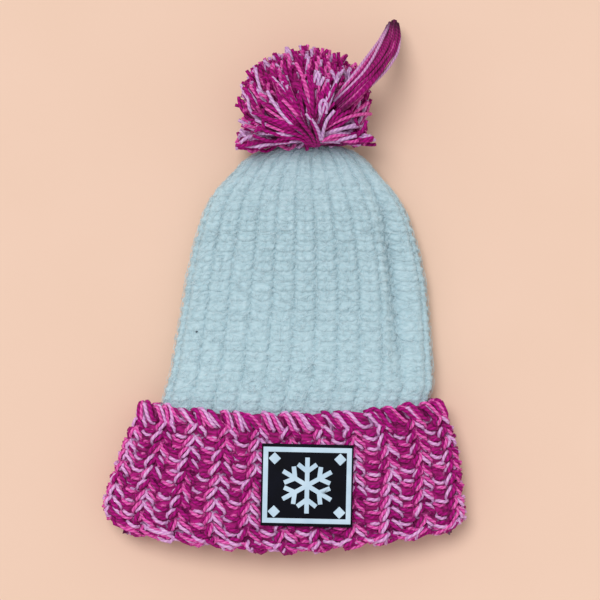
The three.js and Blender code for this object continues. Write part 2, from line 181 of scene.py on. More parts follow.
def section_ring(half_width, centre, back, front, inward):
    """x and z of one cross-section that lies inside the hat's face by inward."""
    half_depth = (front - back + REST_FLATTENING) / 2
    x, z = even_oval(half_width, half_depth)
    inward = np.broadcast_to(inward, TURNS.shape)
    x = centre + x * (1 - inward / half_width)
    z = front - half_depth + z * (1 - inward / half_depth)
    return x, np.maximum(z, back + np.minimum(inward, inward.min() + 0.5 * MM))


def column(table, key, place, name):
    """One column of a table of sections, at any place between its rows."""
    return float(np.interp(place, table[key], table[name]))


# %% A face of the fabric as a grid
class KnitFace:
    """A grid of cross-sections. rows says how many stitch rows up each one is."""

    def __init__(self, rows, rings):
        self.rows = np.array(rows, float)
        self.points = np.array(rings)
        round_step = np.roll(self.points, -1, 1) - np.roll(self.points, 1, 1)
        up_step = np.gradient(self.points, axis=0)
        normals = np.cross(round_step, up_step)
        if np.sum(normals[0] * (self.points[0] - self.points[0].mean(0))) < 0:
            normals = -normals
        self.normals = normals / np.linalg.norm(normals, axis=2, keepdims=True)

    def spot(self, grid, row, turn):
        """The grid's value at any row and turn."""
        r = np.interp(row, self.rows, np.arange(len(self.rows)))
        low = np.clip(r.astype(int), 0, len(self.rows) - 2)
        up = (r - low)[..., None]
        t = (turn % 1) * len(TURNS)
        left = t.astype(int) % len(TURNS)
        right = (left + 1) % len(TURNS)
        side = (t - t.astype(int))[..., None]
        below = grid[low, left] * (1 - side) + grid[low, right] * side
        above = grid[low + 1, left] * (1 - side) + grid[low + 1, right] * side
        return below * (1 - up) + above * up

    def place(self, row, turn, lift):
        """Points lift above the face, or below it where lift is negative."""
        normal = self.spot(self.normals, row, turn)
        return self.spot(self.points, row, turn) + normal * np.asarray(lift)[..., None]

    def round_length(self, row):
        """How far it is round the hat at each row."""
        lengths = np.linalg.norm(np.roll(self.points, -1, 1) - self.points, axis=2).sum(1)
        return np.interp(row, self.rows, lengths)


def hat_ring(x, y, z):
    """Ring points, moved from the hat's own middle line to the frame."""
    return np.stack([x + HAT_SHIFT.x, y + HAT_SHIFT.y, z], axis=1)


# %% [markdown]
# ## The cuff's face
# The cuff is one long band of rib. It starts at the top edge, runs down the outside, turns round the fold
# and goes up inside to meet the crown. So its face is one grid too, with its rows counted from the edge.

# %% The cuff from its top edge, round the fold and up inside
CUFF_ROW = 8.33 * MM
FOLD_SHARE = 0.06
FOLD_ROWS = 2.6
OUTSIDE_ROWS = (1 - FOLD_SHARE) * CUFF_HEIGHT / CUFF_ROW
FOLD_RADIUS = CUFF_WALL + LAYER_GAP / 2
HELD_BACK = CUFF_WALL + LAYER_GAP
HELD_FRONT = CUFF_DEPTH - CUFF_WALL - LAYER_GAP
RIM_HALF_WIDTH = CROWN_WIDTH / 2
RIM_CENTRE = CROWN_WIDTH * CROWN_SECTIONS["shift"][0] / 2


def smooth(value, low, high):
    t = np.clip((value - low) / (high - low), 0, 1)
    return t * t * (3 - 2 * t)


def groove(turn):
    """0 on the crest of one of the cuff's ribs and 1 in the groove between two."""
    return 0.5 - 0.5 * np.cos(2 * np.pi * (CUFF_RIBS * turn - 0.5))


def fold_level(x):
    return CUFF_FOLD_BOW * (np.abs(x) / (CUFF_WIDTH / 2)) ** CUFF_FOLD_POWER


def cuff_outside(v, inward):
    """A ring of the cuff's outer layer, or of its fold where inward is more than nothing."""
    half_width = CUFF_WIDTH / 2 * column(CUFF_SECTIONS, "v", v, "width")
    centre = CUFF_WIDTH * column(CUFF_SECTIONS, "v", v, "shift")
    x, z = section_ring(half_width, centre, 0, CUFF_DEPTH, inward)
    aside = np.abs(x) / (CUFF_WIDTH / 2)
    wave = CUFF_SCALLOP * groove(TURNS)
    low = fold_level(x) + wave * (1 - smooth(v, 0, 0.12))
    high = CUFF_HEIGHT + CUFF_EDGE_BOW * aside**2 - wave * smooth(v, 0.88, 1)
    return hat_ring(x, low + (high - low) * v, z)


FOLD_INNER_HALF_WIDTH = (
    CUFF_WIDTH / 2 * column(CUFF_SECTIONS, "v", 0.1, "width") - CUFF_WALL - LAYER_GAP
)


def cuff_inside(share):
    """A ring of the face that touches the head: share is 0 at the fold and 1 at the crown's rim."""
    half_width = FOLD_INNER_HALF_WIDTH + (RIM_HALF_WIDTH - FOLD_INNER_HALF_WIDTH) * share
    x, z = section_ring(half_width, RIM_CENTRE * share, HELD_BACK, HELD_FRONT, CUFF_WALL)
    y = fold_level(x) + (CUFF_INNER_HEIGHT - fold_level(x)) * share
    return hat_ring(x, y, z)


def make_cuff_face():
    rows, rings = [], []
    for v in np.linspace(1, FOLD_SHARE, 40):
        rows.append((1 - v) * CUFF_HEIGHT / CUFF_ROW)
        rings.append(cuff_outside(v, 0.0))
    for angle in np.linspace(0, np.pi, 14)[1:]:
        v = FOLD_SHARE * (1 - math.sin(angle))
        rows.append(OUTSIDE_ROWS + FOLD_ROWS * angle / np.pi)
        rings.append(cuff_outside(v, FOLD_RADIUS * (1 - math.cos(angle))))
    last = rows[-1]
    for share in np.linspace(0.2, 1, 12):
        rows.append(last + (share - 0.12) * CUFF_INNER_HEIGHT / CUFF_ROW)
        rings.append(cuff_inside(share))
    return KnitFace(rows, rings)


cuff_face = make_cuff_face()
print("the cuff's band has", round(cuff_face.rows[-1], 1), "rows")

# %% [markdown]
# ## The crown's face
# The crown starts inside the cuff, rises through it and narrows to a gathered end. One long crease presses
# it in near the right edge, just as the soft fabric lies in the photograph.

# %% The crown from its rim to the gather
CROWN_ROW = 6.5 * MM
RIM_ALONG = (CUFF_INNER_HEIGHT - CUFF_HEIGHT) / CROWN_LENGTH
CROWN_KNIT_ALONG = 0.985
GATHER_SHARES = (0.75, 0.5, 0.25, 0.04)
GATHER_ROWS = 0.6
GATHER_BULGE = 1.5 * MM


def crown_value(along, name):
    return column(CROWN_SECTIONS, "along", along, name)


def crease(along):
    away = CROWN_RIBS * TURNS - CREASE_RIB
    strength = math.sin(math.pi * float(smooth(along, -0.1, 1.05)))
    return CREASE_DEPTH * np.exp(-4 * away * away) * strength


def crown_ring(along):
    """The crown's outer face at one place along it."""
    rising = float(np.clip(along / RIM_ALONG, 0, 1))
    half_width = CROWN_WIDTH / 2 * (crown_value(along, "width") * (1 - rising) + rising)
    centre = CROWN_WIDTH * crown_value(along, "shift") * (1 - rising) + RIM_CENTRE * rising
    held = crown_value(along, "held")
    back = held * HELD_BACK + CROWN_DEPTH * crown_value(along, "back")
    front = CROWN_DEPTH * crown_value(along, "front") * (1 - held) + HELD_FRONT * held
    x, z = section_ring(half_width, centre, back, front, crease(along))
    return hat_ring(x, np.full_like(x, CUFF_HEIGHT + CROWN_LENGTH * along), z)


crown_alongs = np.linspace(RIM_ALONG, CROWN_KNIT_ALONG, 70)
crown_rings = [crown_ring(along) for along in crown_alongs]
crown_rows = list(crown_alongs * CROWN_LENGTH / CROWN_ROW)
CROWN_KNIT_END = crown_rows[-1]
gather_middle = crown_rings[-1].mean(0)
for share in GATHER_SHARES:
    ring = gather_middle + (crown_rings[-1] - gather_middle) * share
    ring[:, 1] += GATHER_BULGE * (1 - share)
    crown_rings.append(ring)
    crown_rows.append(crown_rows[-1] + GATHER_ROWS)
crown_face = KnitFace(crown_rows, crown_rings)
print("the crown has", round(crown_face.rows[-1] - crown_face.rows[0], 1), "rows")

# %% [markdown]
# ## One tree for every yarn
# All yarns here are the same thing: a path, swept by a small round section. A Geometry Nodes tree does
# that for any path it is given. It can also lay several plies side by side, twisted round the path, which
# is how the cuff's three yarns are held together. It keeps two attributes for the materials: along, the
# length from the yarn's start, and side, the direction round its section.

# %% Build the yarn tree
def link(tree, from_node, from_socket, to_node, to_socket):
    tree.links.new(from_node.outputs[from_socket], to_node.inputs[to_socket])


def math_node(tree, operation, first, second=None):
    """A Math node on sockets or numbers. Returns its output socket."""
    node = tree.nodes.new("ShaderNodeMath")
    node.operation = operation
    for socket, value in zip(node.inputs, (first, second)):
        if isinstance(value, bpy.types.NodeSocket):
            tree.links.new(value, socket)
        elif value is not None:
            socket.default_value = value
    return node.outputs[0]


def vector_math(tree, operation, first, second=None):
    """A Vector Math node whose second value may be a number, for SCALE."""
    node = tree.nodes.new("ShaderNodeVectorMath")
    node.operation = operation
    tree.links.new(first, node.inputs[0])
    if second:
        tree.links.new(second, node.inputs["Scale"] if operation == "SCALE" else node.inputs[1])
    return node.outputs["Vector"]


YARN_INPUTS = [
    ("Ply Radius", "NodeSocketFloat"),
    ("Ply Offset", "NodeSocketFloat"),
    ("Ply Share", "NodeSocketFloat"),
    ("Sides", "NodeSocketInt"),
    ("Material", "NodeSocketMaterial"),
]


def carried(tree, name, kind="FLOAT"):
    """A value that the path carries at each of its points."""
    node = tree.nodes.new("GeometryNodeInputNamedAttribute")
    node.data_type = kind
    node.inputs["Name"].default_value = name
    return node.outputs["Attribute"]


def keep(tree, geometry, name, kind, value):
    """Keeps a value at each point of a curve under a name. Returns the node."""
    node = tree.nodes.new("GeometryNodeStoreNamedAttribute")
    node.data_type = kind
    node.domain = "POINT"
    node.inputs["Name"].default_value = name
    tree.links.new(geometry, node.inputs["Geometry"])
    tree.links.new(value, node.inputs["Value"])
    return node


def build_yarn_tree():
    tree = bpy.data.node_groups.new("sweep_yarn", "GeometryNodeTree")
    tree.interface.new_socket("Geometry", in_out="INPUT", socket_type="NodeSocketGeometry")
    for name, kind in YARN_INPUTS:
        tree.interface.new_socket(name, in_out="INPUT", socket_type=kind)
    tree.interface.new_socket("Geometry", in_out="OUTPUT", socket_type="NodeSocketGeometry")
    new = tree.nodes.new
    given = new("NodeGroupInput")
    path = new("GeometryNodeMeshToCurve")
    link(tree, given, "Geometry", path, "Mesh")

    turn = math_node(tree, "ADD", carried(tree, "turn"), given.outputs["Ply Share"])
    angle = math_node(tree, "MULTIPLY", turn, 2 * math.pi)
    tangent = new("GeometryNodeInputTangent").outputs["Tangent"]
    beside = vector_math(tree, "CROSS_PRODUCT", tangent, carried(tree, "front", "FLOAT_VECTOR"))
    across = vector_math(tree, "NORMALIZE", beside)
    normal = vector_math(tree, "CROSS_PRODUCT", across, tangent)
    up_part = vector_math(tree, "SCALE", normal, math_node(tree, "COSINE", angle))
    side_part = vector_math(tree, "SCALE", across, math_node(tree, "SINE", angle))
    away = vector_math(tree, "ADD", up_part, side_part)
    shift = new("GeometryNodeSetPosition")
    link(tree, path, "Curve", shift, "Geometry")
    distance = math_node(tree, "MULTIPLY", given.outputs["Ply Offset"], carried(tree, "thick"))
    tree.links.new(vector_math(tree, "SCALE", away, distance), shift.inputs["Offset"])

    length = new("GeometryNodeSplineParameter").outputs["Length"]
    along = keep(tree, shift.outputs["Geometry"], "along", "FLOAT", length)
    radius = new("GeometryNodeSetCurveRadius")
    link(tree, along, "Geometry", radius, "Curve")
    tree.links.new(carried(tree, "thick"), radius.inputs["Radius"])

    circle = new("GeometryNodeCurvePrimitiveCircle")
    link(tree, given, "Sides", circle, "Resolution")
    link(tree, given, "Ply Radius", circle, "Radius")
    position = new("GeometryNodeInputPosition").outputs["Position"]
    outward = vector_math(tree, "NORMALIZE", position)
    side = keep(tree, circle.outputs["Curve"], "side", "FLOAT_VECTOR", outward)

    sweep = new("GeometryNodeCurveToMesh")
    sweep.inputs["Fill Caps"].default_value = True
    link(tree, radius, "Curve", sweep, "Curve")
    link(tree, side, "Geometry", sweep, "Profile Curve")
    shade = new("GeometryNodeSetShadeSmooth")
    link(tree, sweep, "Mesh", shade, "Geometry")
    realize = new("GeometryNodeRealizeInstances")
    link(tree, shade, "Geometry", realize, "Geometry")
    finish = new("GeometryNodeSetMaterial")
    link(tree, realize, "Geometry", finish, "Geometry")
    link(tree, given, "Material", finish, "Material")
    result = new("NodeGroupOutput")
    link(tree, finish, "Geometry", result, "Geometry")
    return tree


yarn_tree = build_yarn_tree()
print("the yarn tree has", len(yarn_tree.nodes), "nodes")


# %% Sweep a set of paths
class Path:
    """Points of one yarn, with what each point carries: how thick the yarn is there, how far its plies
    have turned from the front, its shade, painted shade that darkens its colour from 1, unshaded, to 0,
    deep in the fabric, and which way the front is."""

    def __init__(self, points, thick=1.0, turn=0.0, shade=1.0, front=(0.0, 0.0, 1.0)):
        self.points = points
        self.front = np.broadcast_to(np.asarray(front, np.float32), points.shape)
        self.numbers = {}
        for name, values in (("thick", thick), ("turn", turn), ("shade", shade)):
            self.numbers[name] = np.broadcast_to(np.asarray(values, np.float32), len(points))


def path_mesh(name, paths, closed):
    """A mesh of edges alone, one chain or ring of them for each path."""
    edges = []
    start = 0
    for path in paths:
        count = len(path.points)
        ends = np.arange(start, start + count)
        pairs = np.stack([ends, np.roll(ends, -1)], axis=1)
        edges.append(pairs if closed else pairs[:-1])
        start += count
    mesh = bpy.data.meshes.new(name)
    mesh.from_pydata(np.concatenate([path.points for path in paths]), np.concatenate(edges), [])
    for key in ("thick", "turn", "shade"):
        attribute = mesh.attributes.new(key, "FLOAT", "POINT")
        attribute.data.foreach_set("value", np.concatenate([path.numbers[key] for path in paths]))
    front = mesh.attributes.new("front", "FLOAT_VECTOR", "POINT")
    front.data.foreach_set("vector", np.concatenate([path.front for path in paths]).ravel())
    return mesh


def triangles(piece):
    return sum(len(polygon.vertices) - 2 for polygon in piece.data.polygons)


def new_piece(name, mesh):
    piece = bpy.data.objects.new(name, mesh)
    scene.collection.objects.link(piece)
    return piece


def sweep_yarn(name, paths, material, radius, closed=False, offset=0.0, share=0.0, sides=5):
    """Runs the yarn tree on the paths and keeps the result as a plain mesh."""
    piece = new_piece(name, path_mesh(name + "_path", paths, closed))
    modifier = piece.modifiers.new("yarn", "NODES")
    modifier.node_group = yarn_tree
    values = {
        "Ply Radius": radius,
        "Ply Offset": offset,
        "Ply Share": share,
        "Sides": sides,
        "Material": material,
    }
    for item in yarn_tree.interface.items_tree:
        if item.in_out == "INPUT" and item.name in values:
            modifier[item.identifier] = values[item.name]
    swept = piece.evaluated_get(bpy.context.evaluated_depsgraph_get())
    mesh = bpy.data.meshes.new_from_object(swept)
    piece.modifiers.remove(modifier)
    piece.data = mesh
    mesh.name = name
    print(name, "has", triangles(piece), "triangles")
    return piece


# %% [markdown]
# ## Yarn as a material
# Spun yarn shows two things close up: the slanting furrow where its two strands wind round each other, and
# a haze of fine fibres. Both come from the along and side attributes, so they follow the yarn round every
# bend. The colour has painted light on the strands' backs and painted shade in the furrows, and it drifts
# slowly along the yarn, as dyed wool does. Where a path carries a low shade, deep in the fabric, the colour
# is darkened: painted shade. Sheen gives the soft edge.

# %% What all the materials are made of
def colour_of(red, green, blue):
    """A colour as seen on a screen, 0 to 255, turned to the linear values that Blender uses."""
    shares = [c / 255 for c in (red, green, blue)]
    return [c / 12.92 if c < 0.04045 else ((c + 0.055) / 1.055) ** 2.4 for c in shares] + [1]


def new_material(name, roughness, shine=0.5):
    """A new material, its tree and its surface."""
    material = bpy.data.materials.new(name)
    material.use_nodes = True
    surface = material.node_tree.nodes["Principled BSDF"]
    surface.inputs["Roughness"].default_value = roughness
    surface.inputs["Specular IOR Level"].default_value = shine
    return material, material.node_tree, surface


def read_attribute(tree, name, output="Fac"):
    node = tree.nodes.new("ShaderNodeAttribute")
    node.attribute_name = name
    return node.outputs[output]


def object_place(tree):
    return tree.nodes.new("ShaderNodeTexCoord").outputs["Object"]


def noise(tree, place, grain, detail):
    node = tree.nodes.new("ShaderNodeTexNoise")
    node.inputs["Scale"].default_value = grain
    node.inputs["Detail"].default_value = detail
    tree.links.new(place, node.inputs["Vector"])
    return node.outputs["Fac"]


def colour_ramp(tree, tone, stops):
    """stops: pairs of a tone and the screen colour it gets, lowest tone first."""
    node = tree.nodes.new("ShaderNodeValToRGB")
    elements = node.color_ramp.elements
    for element, (position, colour) in zip((elements[0], elements[-1]), (stops[0], stops[-1])):
        element.position = position
        element.color = colour_of(*colour)
    for position, colour in stops[1:-1]:
        elements.new(position).color = colour_of(*colour)
    tree.links.new(tone, node.inputs["Fac"])
    return node.outputs["Color"]


def add_bump(tree, surface, height, strength, depth):
    node = tree.nodes.new("ShaderNodeBump")
    node.inputs["Strength"].default_value = strength
    node.inputs["Distance"].default_value = depth
    tree.links.new(height, node.inputs["Height"])
    link(tree, node, "Normal", surface, "Normal")


# %% Yarns
STRAND_PITCH = 7 * MM
FIBRE_GRAIN_ALONG = 260
FIBRE_GRAIN_ROUND = 4
FIBRE_TONE = 0.65
CLOUD_GRAIN = 60
CLOUD_TONE = 0.3
TONES = (0.3, 0.55, 0.8)
SHALLOW_FURROW = 0.1
LEVEL_OF_FURROW = 0.375


def yarn_material(name, colours, painted_shade_brightness=0.5, furrow=0.34, sheen=0.06, bump=0.45):
    """colours: deep, main and light, as seen on a screen. The value after them is how bright painted shade
    leaves the yarn deep in the fabric, as a share of its deep colour. furrow: how much the groove between
    its two strands shows, in the bump and as painted light and shade in the colour."""
    material, tree, surface = new_material(name, 0.9, 0.2)
    surface.inputs["Sheen Weight"].default_value = sheen
    surface.inputs["Sheen Roughness"].default_value = 0.5

    along = read_attribute(tree, "along")
    spin = tree.nodes.new("ShaderNodeVectorRotate")
    spin.rotation_type = "Z_AXIS"
    tree.links.new(read_attribute(tree, "side", "Vector"), spin.inputs["Vector"])
    turn = math_node(tree, "MULTIPLY", along, 2 * math.pi / STRAND_PITCH)
    tree.links.new(turn, spin.inputs["Angle"])
    parts = tree.nodes.new("ShaderNodeSeparateXYZ")
    link(tree, spin, "Vector", parts, "Vector")
    strand = math_node(tree, "MULTIPLY", parts.outputs["X"], parts.outputs["X"])

    grain = tree.nodes.new("ShaderNodeCombineXYZ")
    tree.links.new(math_node(tree, "MULTIPLY", along, FIBRE_GRAIN_ALONG), grain.inputs["X"])
    for source, target in (("X", "Y"), ("Y", "Z")):
        wound = math_node(tree, "MULTIPLY", parts.outputs[source], FIBRE_GRAIN_ROUND)
        tree.links.new(wound, grain.inputs[target])
    fibres = noise(tree, grain.outputs["Vector"], 1, 3)
    clouds = noise(tree, object_place(tree), CLOUD_GRAIN, 2)

    # Painted light and shade of the twist: the strands' backs are lighter and the furrow between them
    # darker.
    tone = math_node(tree, "MULTIPLY", strand, furrow)
    tone = math_node(tree, "ADD", tone, math_node(tree, "MULTIPLY", fibres, FIBRE_TONE))
    tone = math_node(tree, "ADD", tone, math_node(tree, "MULTIPLY", clouds, CLOUD_TONE))
    # A deep furrow raises the tone of the strands' backs, so the ramp moves up with it.
    level = LEVEL_OF_FURROW * (furrow - SHALLOW_FURROW)
    stops = [(place + level, colour) for place, colour in zip(TONES, colours)]
    # Painted shade: where a path's shade is low, the colour is mixed towards a darker copy of the deep
    # colour.
    painted_shade_mix = tree.nodes.new("ShaderNodeMix")
    painted_shade_mix.data_type = "RGBA"
    tree.links.new(read_attribute(tree, "shade"), painted_shade_mix.inputs["Factor"])
    painted_shade_mix.inputs["A"].default_value = colour_of(*[channel * painted_shade_brightness for channel in colours[0]])
    tree.links.new(colour_ramp(tree, tone, stops), painted_shade_mix.inputs["B"])
    link(tree, painted_shade_mix, "Result", surface, "Base Color")

    height = math_node(tree, "MULTIPLY", fibres, 0.5)
    height = math_node(tree, "ADD", height, math_node(tree, "MULTIPLY", strand, 4 * furrow))
    add_bump(tree, surface, height, bump, 0.4 * MM)
    return material


magenta_yarn = yarn_material("magenta_yarn", [(118, 0, 82), (162, 2, 114), (204, 22, 152)])
pink_yarn = yarn_material("pink_yarn", [(184, 34, 134), (226, 86, 174), (252, 142, 210)])
lilac_yarn = yarn_material("lilac_yarn", [(192, 124, 190), (226, 166, 222), (242, 202, 238)])
pale_strand = yarn_material("pale_strand", [(178, 126, 186), (212, 166, 216), (234, 202, 238)])
ICE_COLOURS = [(164, 193, 202), (184, 210, 219), (205, 228, 236)]
ice_yarn = yarn_material("ice_yarn", ICE_COLOURS, painted_shade_brightness=0.86, furrow=0.1, sheen=0.3, bump=0.25)
print("yarns:", [yarn.name for yarn in (magenta_yarn, pink_yarn, lilac_yarn, pale_strand, ice_yarn)])

# %% [markdown]
# ## How a stitch lies
# A knit stitch is a loop pulled through the one below. Its two legs come up from the foot of the V, lean
# outwards over the front, and pass behind the next loop at the top. A purl stitch is the same loop seen
# from behind: its legs hide and its head shows as a short bar. Rib puts one beside the other, and the purl
# sinks between the plump knit columns. The tables give one stitch: across in shares of its own width, up
# in rows, forward from -1, the back, to 1, the front, and how plump the yarn is there. PLY_TURNS says how
# far the cuff's bundle may turn: each of the first three brings one ply to the front, and the others bring
# two side by side.

# %% The stitches
def whole_stitch(half):
    """A stitch is the same on its left and right. half runs from the foot to the middle of the head."""
    left = np.array(half)
    right = left[-2::-1] * np.array([-1, 1, 1, 1])
    return np.concatenate([left, right])


CUFF_KNIT = whole_stitch([
    (-0.10, -0.56, -1.0, 0.7),
    (-0.08, -0.30, 0.3, 0.95),
    (-0.27, 0.00, 1.0, 1.3),
    (-0.46, 0.32, 0.4, 1.1),
    (-0.50, 0.62, -0.9, 0.7),
    (0.00, 0.90, -1.2, 0.7),
])
CROWN_KNIT = whole_stitch([
    (-0.10, -0.26, -0.9, 0.85),
    (-0.08, -0.12, 0.5, 1.0),
    (-0.26, -0.02, 1.0, 1.1),
    (-0.42, 0.08, 0.7, 1.05),
    (-0.50, 0.34, -0.5, 0.85),
    (0.00, 0.60, -0.8, 0.85),
])
PURL = whole_stitch([
    (-0.42, -0.46, -0.5, 0.75),
    (-0.24, -0.10, -0.9, 0.7),
    (-0.30, 0.40, -1.0, 0.7),
    (-0.40, 0.70, -0.5, 0.8),
    (-0.24, 0.80, 0.8, 1.3),
    (0.00, 0.81, 1.0, 1.5),
])
FOLD_KNIT = whole_stitch([
    (-0.10, -0.56, -1.0, 0.7),
    (-0.14, -0.25, 0.4, 1.0),
    (-0.42, 0.10, 1.0, 1.3),
    (-0.62, 0.55, 1.1, 1.35),
    (-0.46, 1.05, 1.1, 1.35),
    (0.00, 1.32, 1.1, 1.4),
])
FOOT = (-0.5, -0.5, 0.75)
PLY_TURNS = [0.0, 0.36, -0.36, 0.5, 0.18, -0.18]


def through(points, count):
    """count points on a closed smooth curve through the given ones."""
    total = len(points)
    where = np.arange(count) * total / count
    i = where.astype(int)
    t = (where - i)[:, None]
    a, b, c, d = (points[(i + k) % total] for k in (-1, 0, 1, 2))
    return 0.5 * (2 * b + (c - a) * t + (2 * a - 5 * b + 4 * c - d) * t**2 + (3 * b - a - 3 * c + d) * t**3)


def laid_on(face, row, table, style):
    """The path of a ring of points: turn, rows up, lift, plumpness, how far forward and the plies' turn."""
    # Turns grow round the hat, so each point's own share of the turn is taken off while smoothing.
    count = style["ribs"] * style["points"]
    unrolled = table.copy()
    unrolled[:, 0] -= np.arange(len(table)) / len(table)
    turn, up, lift, plump, forward, twist = through(unrolled, count).T
    turn = turn + np.arange(count) / count
    rows = row + up
    size = np.clip(face.round_length(rows) / style["full_round"], style["least"], 1)
    points = face.place(rows, turn, lift * size - style["yarn"] * size)
    thick = size * plump
    points[:, 2] = np.maximum(points[:, 2], style["bundle"] * thick + FLOOR_GAP)
    # Painted shade: yarn further back in the fabric gets a lower shade and a darker colour, never below 0.2.
    shade = 0.2 + 0.8 * smooth(forward, -1.4, 0.8)
    return Path(points, thick, twist, shade, face.spot(face.normals, rows, turn))


def rib_row(face, row, rng, style):
    """One yarn all the way round the hat, through every stitch of a row. Which ply lies in front
    changes from stitch to stitch, for hand-held yarns turn as they will."""
    ribs = style["ribs"]
    table = []
    for rib in range(ribs):
        first = rib + style["first_rib"]
        halves = [
            (first / ribs, style["knit_share"] / ribs, style["knit"], 0.0),
            ((first + 0.5) / ribs, (1 - style["knit_share"]) / ribs, PURL, style["purl_sink"]),
        ]
        for middle, width, shape, sink in halves:
            tall = 1 + style["uneven"] * rng.normal()
            wide = 1 + style["uneven"] * rng.normal()
            nudge = style["uneven"] * rng.normal(size=2) * 0.5
            twist = rng.choice(PLY_TURNS) + 0.07 * rng.normal()
            up, forward, plump = FOOT
            foot_lift = -(1 - forward) * style["swell"] - style["round"]
            table.append((middle - width / 2, up, foot_lift, plump, forward, 0))
            for x, y, forward, plump in shape:
                turn = middle + (x * wide + nudge[0]) * width
                lift = -(1 - forward) * style["swell"] - sink
                if sink == 0:
                    lift -= style["round"] * (2 * x) ** 2
                # Sunken purl counts as lying further back, so its painted shade is darker.
                forward -= sink / style["sink_shade"]
                table.append((turn, y * tall + nudge[1], lift, plump, forward, twist + 0.45 * x))
    return laid_on(face, row, np.array(table), style)


# %% [markdown]
# ## Knit the cuff
# Ten rows show on the outside, a few turn round the fold, and the rest run up inside. The cuff is turned
# up, so its stitches stand on their heads: each V shows as a caret. The row on the fold has wider and
# taller loops, and the cast-on edge is a row of slanting wraps. Three yarns are knitted as one, and each
# colour is its own piece, wound round the shared path.

# %% Cuff yarns
CUFF_STYLE = {
    "ribs": CUFF_RIBS,
    "first_rib": 0.5,
    "knit": CUFF_KNIT,
    "knit_share": 0.53,
    "purl_sink": 1.2 * MM,
    "sink_shade": 5 * MM,
    "swell": 1.6 * MM,
    "round": 0.8 * MM,
    "uneven": 0.07,
    "points": 26,
    "full_round": float(cuff_face.round_length(2)),
    "least": 0.8,
    "yarn": 2.3 * MM,
    "bundle": 2.65 * MM,
}


EDGE_WRAPS = 3 * CUFF_RIBS
EDGE_STEPS = 12
EDGE_LIFT = 1.6 * MM
EDGE_STYLE = {**CUFF_STYLE, "points": 48}


def edge_row(face, rng, style):
    """The cast-on edge: fat slanting wraps of yarn, three for each rib. Each one crosses the front slowly
    and slips back behind the edge."""
    table = []
    for wrap in range(EDGE_WRAPS):
        tall = 0.7 + 0.14 * rng.normal()
        twist = rng.choice(PLY_TURNS) + 0.08 * rng.normal()
        nudge = 0.28 * rng.normal()
        plump = 1.05 + 0.12 * rng.normal()
        slant = rng.uniform(1.0, 2.0)
        for step in range(EDGE_STEPS):
            place = step / EDGE_STEPS
            angle = 2 * np.pi * place
            ahead = slant * min(2 * place, 1) - (slant - 1) * max(2 * place - 1, 0)
            turn = (wrap + ahead + nudge) / EDGE_WRAPS
            forward = math.sin(angle)
            lift = (forward - 0.8) * EDGE_LIFT
            up = tall * math.cos(angle) + 0.55
            table.append((turn, up, lift, plump + 0.2 * forward, forward, twist + 0.5 * place))
    return laid_on(face, 0, np.array(table), style)


def knit(face, rows, style, seed):
    rng = np.random.default_rng(seed)
    return [rib_row(face, row, rng, style) for row in rows]


FOLD_LOOP_ROW = 10.5
cuff_rows = np.arange(1.5, cuff_face.rows[-1], 1.0)
cuff_paths = knit(cuff_face, cuff_rows[cuff_rows != FOLD_LOOP_ROW], CUFF_STYLE, 11)
cuff_paths += knit(cuff_face, [FOLD_LOOP_ROW], {**CUFF_STYLE, "knit": FOLD_KNIT}, 13)
edge_path = edge_row(cuff_face, np.random.default_rng(12), EDGE_STYLE)
CUFF_PLIES = [
    ("magenta", magenta_yarn, 1.35 * MM, 1.25 * MM, 0.0),
    ("pink", pink_yarn, 1.15 * MM, 1.45 * MM, 0.36),
    ("lilac", lilac_yarn, 1.2 * MM, 1.45 * MM, 0.64),
]
cuff_pieces = []
for colour, material, radius, offset, share in CUFF_PLIES:
    name = "cuff_yarn_" + colour
    paths = cuff_paths + [edge_path]
    cuff_pieces.append(sweep_yarn(name, paths, material, radius, True, offset, share))

# %% [markdown]
# ## Knit the crown
# One soft yarn makes the crown, in finer rows. Towards the gather the columns crowd together, so the
# stitches shrink with the way round.

# %% Crown yarn
CROWN_STYLE = {
    "ribs": CROWN_RIBS,
    "first_rib": 0,
    "knit": CROWN_KNIT,
    "knit_share": 0.82,
    "purl_sink": 2.4 * MM,
    "sink_shade": 2.4 * MM,
    "swell": 0.8 * MM,
    "round": 1.3 * MM,
    "uneven": 0.05,
    "points": 26,
    "full_round": float(crown_face.round_length(5)),
    "least": 0.45,
    "yarn": 2.6 * MM,
    "bundle": 2.85 * MM,
}
crown_paths = knit(crown_face, np.arange(-1.5, CROWN_KNIT_END - 3.4, 1.0), CROWN_STYLE, 23)
crown_piece = sweep_yarn("crown_yarn", crown_paths, ice_yarn, 2.6 * MM, closed=True)

# %% [markdown]
# ## Behind the stitches
# Knitted walls are thick, and between the stitches one sees more yarn. A plain closed wall under the rows
# stands for that, in much the same colours, so that no light falls through. The magenta wall is a little
# deeper in tone than its yarn: painted shade in the gaps.

# %% Backing walls
WALL_LEAST = 0.8 * MM
WALL_FLOOR = 0.5 * MM
FAR_BELOW = -1.0


def closed_wall(name, face, near, far, material, step, lowest_y=FAR_BELOW):
    """A wall between two depths below a face, closed at both of its edges. near has a row for each ring.
    step: it uses every so many points of a ring. lowest_y keeps it clear of the fold's outline."""
    count = len(TURNS) // step
    near = near[:, :, None]
    outer = (face.points - face.normals * near)[:, ::step]
    inner = (face.points - face.normals * np.maximum(near + WALL_LEAST, far))[::-1, ::step]
    rings = np.concatenate([outer, inner])
    rings[:, :, 1] = np.maximum(rings[:, :, 1], np.broadcast_to(lowest_y, len(TURNS))[::step])
    rings[:, :, 2] = np.maximum(rings[:, :, 2], WALL_FLOOR)
    total = len(rings)
    faces = []
    for r in range(total):
        for i in range(count):
            j = (i + 1) % count
            s = (r + 1) % total
            faces.append((r * count + i, r * count + j, s * count + j, s * count + i))
    mesh = bpy.data.meshes.new(name)
    mesh.from_pydata(rings.reshape(-1, 3), [], faces)
    mesh.validate()
    mesh.shade_smooth()
    mesh.materials.append(material)
    piece = new_piece(name, mesh)
    print(name, "has", triangles(piece), "triangles")
    return piece


